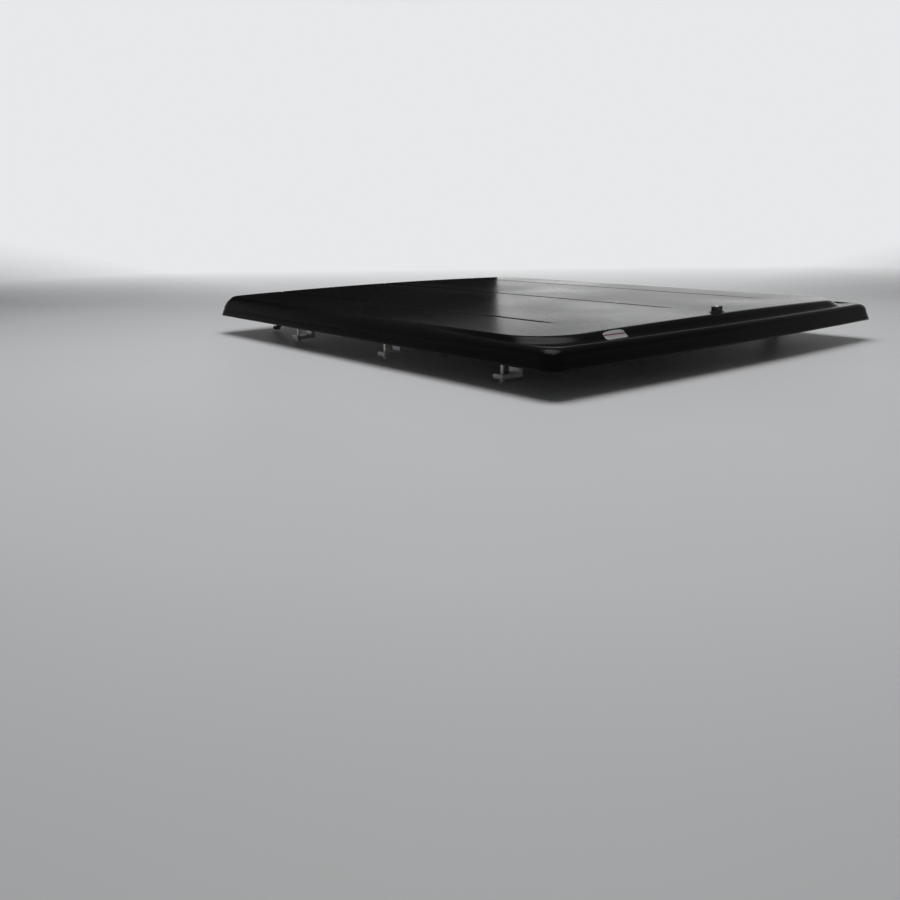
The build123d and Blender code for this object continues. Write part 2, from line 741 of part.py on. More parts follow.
def striker(side):
    # a bolted angle on the rail's shelf, with the hole that the latch rod enters
    rod_y = handle_y + side * rod_offset
    with BuildPart() as angle:
        plate = sorted((side * striker_x, side * (striker_x + striker_thickness)))
        shelf_top = rail_z + shelf_thickness
        block(plate, (rod_y - 16, rod_y + 16), (shelf_top, liner_z - 3))
        fillet(edges().filter_by(Axis.X).group_by(Axis.Z)[-1], 5)
        foot = sorted((side * striker_x, side * rail_inner_x))
        for end in (-1, 1):
            foot_y = sorted((rod_y + end * striker_notch, rod_y + end * striker_reach))
            block(foot, foot_y, (shelf_top, shelf_top + striker_foot))
        hole = (side * (striker_x - 1), side * (striker_x + striker_thickness + 1))
        cross_pin(latch_rod_radius + 2, sorted(hole), rod_y, rod_z, Mode.SUBTRACT)
        for y in (rod_y - striker_screw_reach, rod_y + striker_screw_reach):
            screw_hole((side * striker_screw_x, y), shelf_top, shelf_top + striker_foot)
    return angle.part


save(striker(1), "striker_right")
save(striker(-1), "striker_left")

with BuildPart() as rail_screws:
    for side in (-1, 1):
        rod_y = handle_y + side * rod_offset
        for y in (rod_y - striker_screw_reach, rod_y + striker_screw_reach):
            foot_top = rail_z + shelf_thickness + striker_foot
            screw((side * striker_screw_x, y), foot_top, striker_foot + shelf_thickness)
        for x in hinge_screw_x:
            screw((side * x, base_screw_y), rail_top + base_thickness, base_thickness + rail_wall + 4)
save(rail_screws.part, "rail_screws")

# Bed rail clamps
clamp_inner_x = shelf_inner_x - 0.5 - clamp_back
arm_z = rail_z + shelf_thickness
jaw_z = clamp_bolt_head + 4
clamp_places = (("rear", -clamp_spacing - 60), ("middle", -60), ("front", clamp_spacing - 60))
for place_name, y in clamp_places:
    with BuildPart() as clamp:
        with BuildSketch(Plane.XZ.offset(-y - clamp_width / 2)):
            with BuildLine():
                Polyline(
                    (clamp_inner_x, jaw_z),
                    (clamp_inner_x + clamp_back + clamp_reach, jaw_z),
                    (clamp_inner_x + clamp_back + clamp_reach, jaw_z + clamp_jaw),
                    (clamp_inner_x + clamp_back, jaw_z + clamp_jaw),
                    (clamp_inner_x + clamp_back, arm_z),
                    (rail_inner_x - 1, arm_z),
                    (rail_inner_x - 1, arm_z + clamp_arm),
                    (clamp_inner_x, arm_z + clamp_arm),
                    (clamp_inner_x, jaw_z),
                )
            make_face()
        extrude(amount=clamp_width)
        fillet(edges().filter_by(Axis.Y).group_by(Axis.X)[0], 5)
        post(clamp_bolt_radius, (clamp_bolt_x, y), jaw_z - 1, jaw_z + clamp_jaw + 1, Mode.SUBTRACT)
    save_both_sides(clamp.part, f"clamp_{place_name}")

with BuildPart() as clamp_bolts:
    for side in (-1, 1):
        for place_name, y in clamp_places:
            with BuildSketch():
                with Locations((side * clamp_bolt_x, y)):
                    RegularPolygon(clamp_bolt_flats / 2, 6, major_radius=False)
            extrude(amount=clamp_bolt_head)
            post(clamp_bolt_radius, (side * clamp_bolt_x, y), clamp_bolt_head, pad_height)
save(clamp_bolts.part, "clamp_bolts")

with BuildPart() as clamp_pads:
    for side in (-1, 1):
        for place_name, y in clamp_places:
            post(pad_radius, (side * clamp_bolt_x, y), pad_height, pad_height + pad_thickness)
    fillet(edges().group_by(Axis.Z)[-1], 1.5)
save(clamp_pads.part, "clamp_pads")

# Plain badge plate on the rear slope, on its left
with BuildPart() as badge_plate:
    slope = degrees(atan2(panel_rise, panel_rear_run))
    bow_here = rear_bow * (badge_x / (cover_width / 2)) ** 2
    badge_z = ledge_z + (badge_inset - panel_rear_base) * panel_rise / panel_rear_run
    badge_origin = (badge_x, rear + badge_inset + bow_here, badge_z)
    slope_plane = Plane(badge_origin, x_dir=(1, 0, 0), z_dir=(0, -sin(radians(slope)), cos(radians(slope))))
    with BuildSketch(slope_plane.offset(-badge_sink)):
        RectangleRounded(badge_length, badge_height, 6)
    extrude(amount=badge_thickness)
    fillet(edges().group_by(Axis.Z)[-1], 0.6)
save(badge_plate.part, "badge_plate")

print("strut length closed", round(strut_length, 2), "latch travel", round(latch_travel, 2))
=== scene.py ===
import bpy
import json
from math import cos, exp, pi, radians, sin
from mathutils import Matrix, Vector
from mathutils.bvhtree import BVHTree


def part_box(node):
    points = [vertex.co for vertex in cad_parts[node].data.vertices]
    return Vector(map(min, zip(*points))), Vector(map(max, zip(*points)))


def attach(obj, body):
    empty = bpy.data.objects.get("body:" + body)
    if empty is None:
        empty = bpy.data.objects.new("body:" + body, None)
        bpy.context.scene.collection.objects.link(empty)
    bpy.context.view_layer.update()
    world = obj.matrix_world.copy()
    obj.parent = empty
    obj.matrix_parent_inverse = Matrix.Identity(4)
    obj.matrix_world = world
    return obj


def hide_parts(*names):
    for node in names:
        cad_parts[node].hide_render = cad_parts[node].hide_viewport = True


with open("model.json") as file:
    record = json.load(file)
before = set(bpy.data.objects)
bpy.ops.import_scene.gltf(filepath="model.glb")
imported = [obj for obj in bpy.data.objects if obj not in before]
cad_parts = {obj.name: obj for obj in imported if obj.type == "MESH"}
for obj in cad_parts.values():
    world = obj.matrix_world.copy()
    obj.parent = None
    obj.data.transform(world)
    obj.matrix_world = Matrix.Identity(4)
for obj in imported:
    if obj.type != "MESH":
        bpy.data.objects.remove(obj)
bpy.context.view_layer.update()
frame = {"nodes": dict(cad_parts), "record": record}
nodes = frame["nodes"]
print("frame loaded,", len(nodes), "parts")

skinLow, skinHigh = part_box("lid_skin")


def smoothStep(start, end, value):
    t = min(max((value - start) / (end - start), 0), 1)
    return t * t * (3 - 2 * t)


def makePiece(name, points, faces, material=None, smooth=True):
    mesh = bpy.data.meshes.new(name)
    mesh.from_pydata([tuple(p) for p in points], [], faces)
    mesh.validate()
    mesh.update()
    for polygon in mesh.polygons:
        polygon.use_smooth = smooth
    piece = bpy.data.objects.new(name, mesh)
    bpy.context.scene.collection.objects.link(piece)
    if material:
        mesh.materials.append(material)
    return piece


# the materials, each with its own fine detail
def newMaterial(name, color, roughness, metallic=0.0):
    material = bpy.data.materials.new(name)
    material.use_nodes = True
    tree = material.node_tree
    shader = tree.nodes["Principled BSDF"]
    shader.inputs["Base Color"].default_value = (*color, 1)
    shader.inputs["Roughness"].default_value = roughness
    shader.inputs["Metallic"].default_value = metallic
    place = tree.nodes.new("ShaderNodeTexCoord")
    return material, tree, shader, place.outputs["Object"]


def addNoise(tree, place, scale, detail=3.0, stretch=None):
    noise = tree.nodes.new("ShaderNodeTexNoise")
    noise.inputs["Scale"].default_value = scale
    noise.inputs["Detail"].default_value = detail
    if stretch:
        mapping = tree.nodes.new("ShaderNodeMapping")
        mapping.inputs["Scale"].default_value = stretch
        tree.links.new(place, mapping.inputs["Vector"])
        place = mapping.outputs["Vector"]
    tree.links.new(place, noise.inputs["Vector"])
    return noise.outputs["Fac"]


def addRange(tree, value, low, high, fromLow=0.35, fromHigh=0.65):
    spread = tree.nodes.new("ShaderNodeMapRange")
    spread.inputs["From Min"].default_value = fromLow
    spread.inputs["From Max"].default_value = fromHigh
    spread.inputs["To Min"].default_value = low
    spread.inputs["To Max"].default_value = high
    tree.links.new(value, spread.inputs["Value"])
    return spread.outputs["Result"]


def addColors(tree, value, dark, light, low=0.35, high=0.65):
    ramp = tree.nodes.new("ShaderNodeValToRGB")
    ramp.color_ramp.elements[0].position = low
    ramp.color_ramp.elements[0].color = (*dark, 1)
    ramp.color_ramp.elements[1].position = high
    ramp.color_ramp.elements[1].color = (*light, 1)
    tree.links.new(value, ramp.inputs["Fac"])
    return ramp.outputs["Color"]


def addBump(tree, shader, height, strength, distance, before=None):
    bump = tree.nodes.new("ShaderNodeBump")
    bump.inputs["Strength"].default_value = strength
    bump.inputs["Distance"].default_value = distance
    tree.links.new(height, bump.inputs["Height"])
    if before:
        tree.links.new(before, bump.inputs["Normal"])
    tree.links.new(bump.outputs["Normal"], shader.inputs["Normal"])
    return bump.outputs["Normal"]


def grainedPlastic(name, color, roughness, grain, depth, patch=0.35):
    # moulded plastic: fine grain, a slow change of sheen and a trace of dust
    material, tree, shader, place = newMaterial(name, color, roughness)
    slow = addNoise(tree, place, 2.6, 5)
    light = tuple(min(c * (1 + patch) + 0.002, 1) for c in color)
    tree.links.new(addColors(tree, slow, color, light), shader.inputs["Base Color"])
    fine = addNoise(tree, place, grain, 2)
    tree.links.new(addRange(tree, slow, roughness - 0.05, roughness + 0.07), shader.inputs["Roughness"])
    addBump(tree, shader, fine, 0.55, depth)
    return material


def mouldedSkin(name):
    # the lid's black sheet: deep black, a fine satin grain and a faint mottle in its sheen
    color = (0.0036, 0.0037, 0.004)
    material, tree, shader, place = newMaterial(name, color, 0.3)
    slow = addNoise(tree, place, 2.4, 1)
    light = (0.005, 0.0051, 0.0055)
    tree.links.new(addColors(tree, slow, color, light), shader.inputs["Base Color"])
    tree.links.new(addRange(tree, slow, 0.24, 0.3), shader.inputs["Roughness"])
    coarse = addBump(tree, shader, addNoise(tree, place, 210, 3), 0.1, 0.00015)
    addBump(tree, shader, addNoise(tree, place, 720, 2), 0.4, 0.00025, coarse)
    shader.inputs["Specular IOR Level"].default_value = 0.1
    return material


def powderCoat(name, color, roughness):
    material, tree, shader, place = newMaterial(name, color, roughness)
    slow = addNoise(tree, place, 14, 4)
    light = tuple(min(c * 1.35 + 0.004, 1) for c in color)
    tree.links.new(addColors(tree, slow, color, light), shader.inputs["Base Color"])
    tree.links.new(addRange(tree, slow, roughness - 0.06, roughness + 0.1), shader.inputs["Roughness"])
    addBump(tree, shader, addNoise(tree, place, 620, 1), 0.35, 0.00025)
    shader.inputs["Coat Weight"].default_value = 0.15
    shader.inputs["Coat Roughness"].default_value = 0.3
    return material


def drawnMetal(name, color, roughness, stretch=(1, 0.02, 1), metallic=0.95):
    # lines left by drawing or brushing, along the piece
    material, tree, shader, place = newMaterial(name, color, roughness, metallic)
    lines = addNoise(tree, place, 900, 2, stretch)
    slow = addNoise(tree, place, 9, 4)
    dark = tuple(c * 0.82 for c in color)
    tree.links.new(addColors(tree, slow, dark, color), shader.inputs["Base Color"])
    tree.links.new(addRange(tree, lines, roughness - 0.08, roughness + 0.12), shader.inputs["Roughness"])
    addBump(tree, shader, lines, 0.25, 0.0001)
    return material


def castMetal(name, color, roughness):
    material, tree, shader, place = newMaterial(name, color, roughness, 0.9)
    grain = addNoise(tree, place, 480, 4)
    slow = addNoise(tree, place, 30, 3)
    dark = tuple(c * 0.7 for c in color)
    tree.links.new(addColors(tree, slow, dark, color), shader.inputs["Base Color"])
    tree.links.new(addRange(tree, grain, roughness - 0.05, roughness + 0.15), shader.inputs["Roughness"])
    addBump(tree, shader, grain, 0.6, 0.0004)
    return material


def softRubber(name, color, roughness):
    material, tree, shader, place = newMaterial(name, color, roughness)
    slow = addNoise(tree, place, 22, 4)
    light = tuple(c * 1.8 + 0.004 for c in color)
    tree.links.new(addColors(tree, slow, color, light), shader.inputs["Base Color"])
    tree.links.new(addRange(tree, slow, roughness - 0.08, roughness + 0.08), shader.inputs["Roughness"])
    addBump(tree, shader, addNoise(tree, place, 260, 3), 0.4, 0.0003)
    shader.inputs["Sheen Weight"].default_value = 0.2
    return material


def openFoam(name, color):
    material, tree, shader, place = newMaterial(name, color, 0.95)
    cells = tree.nodes.new("ShaderNodeTexVoronoi")
    cells.inputs["Scale"].default_value = 700
    tree.links.new(place, cells.inputs["Vector"])
    light = tuple(c * 2.2 + 0.01 for c in color)
    colors = addColors(tree, cells.outputs["Distance"], color, light, 0.1, 0.7)
    tree.links.new(colors, shader.inputs["Base Color"])
    addBump(tree, shader, cells.outputs["Distance"], 0.9, 0.0006)
    return material


def honeycombBoard(name):
    material, tree, shader, place = newMaterial(name, (0.5, 0.4, 0.27), 0.9)
    cells = tree.nodes.new("ShaderNodeTexVoronoi")
    cells.feature = "DISTANCE_TO_EDGE"
    cells.inputs["Scale"].default_value = 90
    tree.links.new(place, cells.inputs["Vector"])
    colors = addColors(tree, cells.outputs["Distance"], (0.58, 0.47, 0.33), (0.3, 0.23, 0.15), 0.02, 0.2)
    tree.links.new(colors, shader.inputs["Base Color"])
    addBump(tree, shader, cells.outputs["Distance"], 0.8, 0.002)
    return material


def shinyMetal(name, color, roughness):
    material, tree, shader, place = newMaterial(name, color, roughness, 1.0)
    smear = addNoise(tree, place, 60, 5)
    tree.links.new(addRange(tree, smear, roughness, roughness + 0.1), shader.inputs["Roughness"])
    addBump(tree, shader, addNoise(tree, place, 1500, 1), 0.08, 0.00005)
    return material


def badgeSilver(name):
    # a satin silver plate with one dark red bar along its upper edge
    material, tree, shader, place = newMaterial(name, (0.55, 0.55, 0.56), 0.35, 0.25)
    low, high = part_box("badge_plate")
    split = tree.nodes.new("ShaderNodeSeparateXYZ")
    tree.links.new(place, split.inputs["Vector"])
    barLow = low.z + (high.z - low.z) * 0.7
    barHigh = low.z + (high.z - low.z) * 0.86
    softEdge = 0.0004
    inBar = addRange(tree, split.outputs["Z"], 0, 1, barLow, barLow + softEdge)
    underTop = addRange(tree, split.outputs["Z"], 1, 0, barHigh, barHigh + softEdge)
    both = tree.nodes.new("ShaderNodeMath")
    both.operation = "MULTIPLY"
    tree.links.new(inBar, both.inputs[0])
    tree.links.new(underTop, both.inputs[1])
    silver, darkRed = (0.42, 0.42, 0.43), (0.16, 0.012, 0.02)
    colors = addColors(tree, both.outputs["Value"], silver, darkRed, 0.2, 0.8)
    tree.links.new(colors, shader.inputs["Base Color"])
    brushed = addNoise(tree, place, 1200, 2, (0.03, 1, 1))
    tree.links.new(addRange(tree, brushed, 0.3, 0.45), shader.inputs["Roughness"])
    addBump(tree, shader, brushed, 0.2, 0.0001)
    return material


def paintedGloss(name, color, roughness):
    material, tree, shader, place = newMaterial(name, color, roughness)
    slow = addNoise(tree, place, 40, 3)
    tree.links.new(addRange(tree, slow, roughness, roughness + 0.12), shader.inputs["Roughness"])
    addBump(tree, shader, addNoise(tree, place, 300, 2), 0.12, 0.0002)
    shader.inputs["Coat Weight"].default_value = 0.5
    shader.inputs["Coat Roughness"].default_value = 0.12
    return material


finishes = {
    "skin": mouldedSkin("skinBlack"),
    "core": honeycombBoard("coreBoard"),
    "liner": grainedPlastic("linerBlack", (0.03, 0.03, 0.031), 0.62, 420, 0.0008),
    "black_tube": powderCoat("tubeBlack", (0.022, 0.022, 0.024), 0.42),
    "seal_rubber": softRubber("sealRubber", (0.012, 0.012, 0.012), 0.72),
    "foam": openFoam("tapeFoam", (0.02, 0.02, 0.02)),
    "rail_aluminium": drawnMetal("railAluminium", (0.66, 0.67, 0.69), 0.34),
    "cast_key": castMetal("keyCasting", (0.46, 0.46, 0.48), 0.5),
    "hinge_steel": powderCoat("hingeBlack", (0.025, 0.025, 0.027), 0.38),
    "zinc_steel": drawnMetal("zincPlate", (0.63, 0.61, 0.54), 0.32, (0.05, 1, 1)),
    "black_plastic": grainedPlastic("plainBlack", (0.02, 0.02, 0.02), 0.5, 500, 0.0004),
    "handle_black": grainedPlastic("handleBlack", (0.012, 0.012, 0.013), 0.42, 900, 0.0003),
    "lock_metal": shinyMetal("lockChrome", (0.62, 0.62, 0.63), 0.14),
    "cylinder_paint": paintedGloss("cylinderBlack", (0.012, 0.012, 0.013), 0.24),
    "ram_chrome": shinyMetal("ramChrome", (0.75, 0.75, 0.76), 0.06),
    "badge": badgeSilver("badgeSilver"),
}
for entry in frame["record"]["subparts"]:
    part = nodes[entry["node"]]
    part.data.materials.clear()
    part.data.materials.append(finishes[entry["material_slot"]])
print("finishes on,", len(finishes))

# the lid skin: rows run from the skirt's edge up over the shoulder and ledge to the panel,
# then a grid fills the top
skinLook = {
    "wall": 0.004,
    "rearBow": 0.018,
    "draft": 0.010,
    "shoulderStart": 0.030,  # above the skirt's edge
    "shoulderRadius": 0.026,
    "ledgeDip": 0.004,
    "ledgeFade": (0.12, 0.62),  # along the sides the ledge melts into one round flank between these
    "flankFoot": 0.020,  # above the skirt's edge
    "flankBend": 1.35,
    "sideSlope": (0.038, 0.055),  # inset of the slope's foot and of the panel's edge
    "rearSlope": (0.048, 0.092),
    "frontRound": 0.008,
    "crownDrop": 0.010,
    "panelRadius": 0.15,
    "skirtRadius": 0.035,
    "frontRadius": 0.05,
    "gridInset": (0.16, 0.22, 0.06),  # side, rear and front
    "cornerBand": 0.12,  # closer rows near the grid's corners
    "edgeRound": 0.0012,
    "frontDraft": 0.0015,
    "creases": (-0.53, 0.0, 0.53),
    "creaseDepth": 0.0034,
    "creaseWidth": 0.0048,
    "creaseFade": (0.25, 0.38),
    "lipBand": 0.003,
    "lipEnd": 0.757,
}


def buildSkin(look):
    bottom, top = skinLow.z, skinHigh.z
    halfWidth = (skinHigh.x - skinLow.x) / 2
    rearLine = skinLow.y + look["rearBow"]
    frontLine = skinHigh.y
    middle = (rearLine + frontLine) / 2
    panelHalf = halfWidth - look["sideSlope"][1]
    ledge = look["shoulderStart"] + look["shoulderRadius"] - look["ledgeDip"]
    gridSide, gridRear, gridFront = look["gridInset"]
    gridX = halfWidth - gridSide
    reachRear = middle - rearLine
    reachFront = frontLine - middle

    def topHeight(x, y):
        height = top - look["crownDrop"] * (x / panelHalf) ** 2
        fade = smoothStep(look["creaseFade"][0], look["creaseFade"][1], y - skinLow.y)
        for crease in look["creases"]:
            away = abs(x - crease) / look["creaseWidth"]
            if away < 4:
                height -= look["creaseDepth"] * fade * exp(-away * away)
        return height

    # each row: insets at side, rear and front, corner radii, height above the edge,
    # lift to the panel, and its share of the way up the front face
    rows = []

    def addRow(side, rear, front, rearRadius, frontRadius, height, lift, frontShare):
        rows.append((side, rear, front, rearRadius, frontRadius, height, lift, frontShare))

    skirtRadius, frontRadius = look["skirtRadius"], look["frontRadius"]
    edgeRound, frontDraft, cornerBand = look["edgeRound"], look["frontDraft"], look["cornerBand"]
    addRow(edgeRound, edgeRound, edgeRound, skirtRadius, frontRadius, 0, 0, -1)
    for share in (0.03, 0.25, 0.5, 0.75, 1):
        inset = look["draft"] * share
        rise = look["shoulderStart"] * share
        frontShare = 0 if share == 1 else -1
        addRow(inset, inset, frontDraft * share, skirtRadius, frontRadius, rise, 0, frontShare)
    arcSteps, slopeSteps = 9, 14
    rowTotal = arcSteps + 2 + slopeSteps
    done = 0

    def frontAt(share):
        # the front face stands up to a small round into the top
        straight = top - bottom - look["shoulderStart"] - look["frontRound"]
        path = share * (straight + look["frontRound"] * pi / 2)
        if path < straight:
            return frontDraft, path / (straight + look["frontRound"])
        angle = (path - straight) / look["frontRound"]
        inset = frontDraft + look["frontRound"] * (1 - cos(angle))
        return inset, (straight + look["frontRound"] * sin(angle)) / (straight + look["frontRound"])

    for step in range(1, arcSteps + 1):
        done += 1
        angle = step / arcSteps * pi / 2
        inset = look["draft"] + look["shoulderRadius"] * (1 - cos(angle))
        rise = look["shoulderStart"] + look["shoulderRadius"] * sin(angle)
        front = frontAt(done / rowTotal)[0]
        addRow(inset, inset, front, skirtRadius, frontRadius, rise, 0, done / rowTotal)
    shoulderInset = look["draft"] + look["shoulderRadius"]
    sideFoot, sideEdge = look["sideSlope"]
    rearFoot, rearEdge = look["rearSlope"]
    for share in (0.5, 0.86):
        done += 1
        side = shoulderInset + (sideFoot - shoulderInset) * share
        rear = shoulderInset + (rearFoot - shoulderInset) * share
        radius = skirtRadius + (look["panelRadius"] - skirtRadius) * share
        rise = ledge + look["ledgeDip"] * (1 - smoothStep(0, 0.9, share))
        front = frontAt(done / rowTotal)[0]
        addRow(side, rear, front, radius, frontRadius, rise, 0, done / rowTotal)
    for step in range(1, slopeSteps + 1):
        done += 1
        share = step / slopeSteps
        side = sideFoot + (sideEdge - sideFoot) * share
        rear = rearFoot + (rearEdge - rearFoot) * share
        lift = 0.75 * smoothStep(0, 1, share) + 0.25 * smoothStep(0, 1, smoothStep(0, 1, share))
        front = frontAt(done / rowTotal)[0]
        addRow(side, rear, front, look["panelRadius"], frontRadius, ledge, lift, done / rowTotal)
    frontEdge = frontAt(1)[0]
    for share in (0.02, 0.06, 0.14, 0.28, 0.46, 0.64, 0.82):
        side = sideEdge + (gridSide - sideEdge) * share
        rear = rearEdge + (gridRear - rearEdge) * share
        front = frontEdge + (gridFront - frontEdge) * share
        rearCorner, frontCorner = look["panelRadius"] * (1 - share), frontRadius * (1 - share)
        addRow(side, rear, front, rearCorner, frontCorner, ledge, 1, 1)

    def spread(low, high, near):
        # even places, closer together near the corners
        places = []
        count = max(int((high - low - cornerBand) / near), 2)
        for k in range(count):
            places.append(low + (high - cornerBand - low) * k / count)
        places += [high - cornerBand + cornerBand * k / 15 for k in range(16)]
        return places

    halfPlaces = set(round(p, 5) for p in spread(0, gridX, 0.04))
    for crease in look["creases"]:
        for offset in (-3, -2, -1.3, -0.7, 0, 0.7, 1.3, 2, 3):
            halfPlaces.add(round(abs(abs(crease) + offset * look["creaseWidth"]), 5))
    halfPlaces = sorted(halfPlaces)
    columns = [-p for p in reversed(halfPlaces) if p > 0] + halfPlaces
    gridRearReach = reachRear - gridRear
    gridFrontReach = reachFront - gridFront
    rearPlaces = spread(0, gridRearReach, 0.045)
    lines = [-p for p in reversed(rearPlaces) if p > 0] + spread(0, gridFrontReach, 0.045)

    def bowed(x, y):
        weight = 1 - smoothStep(skinLow.y + 0.2, skinLow.y + 0.65, y)
        return y - look["rearBow"] * (1 - (x / halfWidth) ** 2) * weight

    points, faces = [], []

    def place(x, y, z=None):
        y = bowed(x, y)
        points.append((x, y, topHeight(x, y) if z is None else z))
        return len(points) - 1

    grid = [[place(x, middle + y) for x in columns] for y in lines]
    for j in range(len(lines) - 1):
        for i in range(len(columns) - 1):
            faces.append((grid[j][i], grid[j][i + 1], grid[j + 1][i + 1], grid[j + 1][i]))

    # the grid's rim, once round, as (sign of x, end, whether along the side, distance from the middle)
    rim, rimIndex = [], []
    last = len(columns) - 1
    for i, x in enumerate(columns):
        rim.append((1 if x >= 0 else -1, "rear", False, abs(x)))
        rimIndex.append(grid[0][i])
    for j in range(1, len(lines) - 1):
        rim.append((1, "rear" if lines[j] < 0 else "front", True, abs(lines[j])))
        rimIndex.append(grid[j][last])
    for i, x in reversed(list(enumerate(columns))):
        rim.append((1 if x >= 0 else -1, "front", False, abs(x)))
        rimIndex.append(grid[-1][i])
    for j in range(len(lines) - 2, 0, -1):
        rim.append((-1, "rear" if lines[j] < 0 else "front", True, abs(lines[j])))
        rimIndex.append(grid[j][0])

    def rowPoint(row, spot):
        side, rear, front, rearRadius, frontRadius, height, lift, frontShare = row
        sign, end, alongSide, distance = spot
        radius = rearRadius if end == "rear" else frontRadius
        across = halfWidth - side
        reach = reachRear - rear if end == "rear" else reachFront - front
        if alongSide:
            straight = reach - radius
            gridReach = gridRearReach if end == "rear" else gridFrontReach
        else:
            straight, gridReach = across - radius, gridX
        keep = gridReach - cornerBand
        total = straight + radius * pi / 4
        t = distance
        if distance >= keep:
            t = keep + (distance - keep) / (gridReach - keep) * (total - keep)
        angle = max(t - straight, 0) / radius
        t = min(t, straight)
        if alongSide:
            x, y = across - radius * (1 - cos(angle)), t + radius * sin(angle)
        else:
            x, y = t + radius * sin(angle), reach - radius * (1 - cos(angle))
        frontness = 0
        if end == "front":
            frontness = angle / (pi / 2) if alongSide else 1 - angle / (pi / 2)
        y = middle + (y if end == "front" else -y)
        x *= sign
        y = bowed(x, y)
        roof = topHeight(x, y)
        z = bottom + height + lift * (roof - bottom - height)
        melt = smoothStep(look["ledgeFade"][0], look["ledgeFade"][1], y - skinLow.y)
        outward = max(look["sideSlope"][1] - side, 0) / (look["sideSlope"][1] - look["draft"])
        if melt > 0 and outward < 1:
            foot = bottom + look["flankFoot"]
            flank = foot + (roof - foot) * (1 - outward ** look["flankBend"]) ** 0.5
            z += (flank - z) * melt
        elif melt > 0 and height > look["flankFoot"]:
            z = bottom + height + (look["flankFoot"] - height) * melt
        if frontShare >= 0 and frontness > 0:
            frontZ = bottom + look["shoulderStart"]
            frontZ += (roof - frontZ) * (frontAt(frontShare)[1] if frontShare < 1 else 1)
            z += (frontZ - z) * smoothStep(0, 1, frontness)
        if height < look["shoulderStart"] + 1e-6 and lift == 0 and end == "front" and not alongSide:
            if abs(x) < look["lipEnd"]:
                # only a short lip hangs between the two front corners
                down = 1 - height / look["shoulderStart"]
                z = bottom + look["shoulderStart"] - look["lipBand"] * down
        return x, y, z

    inner = rimIndex
    for row in reversed(rows):
        outer = []
        for spot in rim:
            points.append(rowPoint(row, spot))
            outer.append(len(points) - 1)
        for k in range(len(rim)):
            n = (k + 1) % len(rim)
            faces.append((inner[k], outer[k], outer[n], inner[n]))
        inner = outer
    return points, faces


skinPoints, skinFaces = buildSkin(skinLook)
lidSkin = makePiece("lidSkinMoulding", skinPoints, skinFaces, finishes["skin"])
thickness = lidSkin.modifiers.new("wall", "SOLIDIFY")
thickness.thickness = skinLook["wall"]
thickness.offset = -1
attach(lidSkin, "lid")
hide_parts("lid_skin")
print("lid skin,", len(skinFaces), "faces")

# the badge: a thin plate laid on the rear slope, which it follows, with an arched upper edge
badgeLook = {
    "stand": 0.0022,
    "arch": 0.003,
    "cells": (28, 10),
    "cornerPower": 8,
    "bite": 0.001,  # how far the plate's back sinks into the skin
    "edgeRound": 0.0006,
}


def buildBadge(look):
    low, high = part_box("badge_plate")
    surface = BVHTree.FromPolygons([Vector(p) for p in skinPoints], skinFaces)
    across, deep = look["cells"]
    power = look["cornerPower"]
    points = []
    for j in range(deep + 1):
        v = -1 + 2 * j / deep
        for i in range(across + 1):
            u = -1 + 2 * i / across
            # square cells are pressed into a plate with round corners
            squeeze = (abs(u) ** power + abs(v) ** power) ** (1 / power)
            shrink = max(abs(u), abs(v)) / squeeze if squeeze > 0 else 1
            x = (low.x + high.x) / 2 + u * shrink * (high.x - low.x) / 2
            y = (low.y + high.y) / 2 + v * shrink * (high.y - low.y) / 2
            y += max(v, 0) * look["arch"] * (1 - u * u)
            spot, normal = surface.ray_cast(Vector((x, y, 1)), Vector((0, 0, -1)))[:2]
            if normal.z < 0:
                normal = -normal
            points.append(spot + normal * look["stand"])
    faces = []
    for j in range(deep):
        for i in range(across):
            start = j * (across + 1) + i
            faces.append((start, start + 1, start + across + 2, start + across + 1))
    plate = makePiece("badgePlate", points, faces, finishes["badge"])
    wall = plate.modifiers.new("plate", "SOLIDIFY")
    wall.thickness = look["stand"] + look["bite"]
    wall.offset = -1
    edge = plate.modifiers.new("edge", "BEVEL")
    edge.width = look["edgeRound"]
    edge.segments = 2
    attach(plate, "lid")
    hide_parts("badge_plate")


buildBadge(badgeLook)
print("badge on")

# the stage: a pale floor that fades into a soft room
stageLook = {
    "floorColor": (0.72, 0.725, 0.735),
    "worldColor": (0.98, 0.99, 1.0),
    "wallBright": 0.82,  # the pale wall beyond the front right corner
    "wallDim": 0.2,  # the other walls, and the room overhead, which keep the black parts black
    "skyHigh": 0.1,
    "brightTurn": 40,  # degrees to the right of straight ahead
    "fadeStart": 2.3,  # the floor fades into the wall between these two distances
    "fadeEnd": 5.2,
    "aheadStart": 1.2,  # and sooner towards the bright wall
    "aheadEnd": 4.4,
    "flagHalf": 0.78,  # a dark card ahead of the cover, where a cab's back would stand
    "flagGap": 0.08,
    "flagBottom": 0.14,
    "flagTop": 0.62,
    "floorReach": 40,
    "ceilingFade": (0.21, 0.36),  # the room darkens between these heights of a unit ray
}


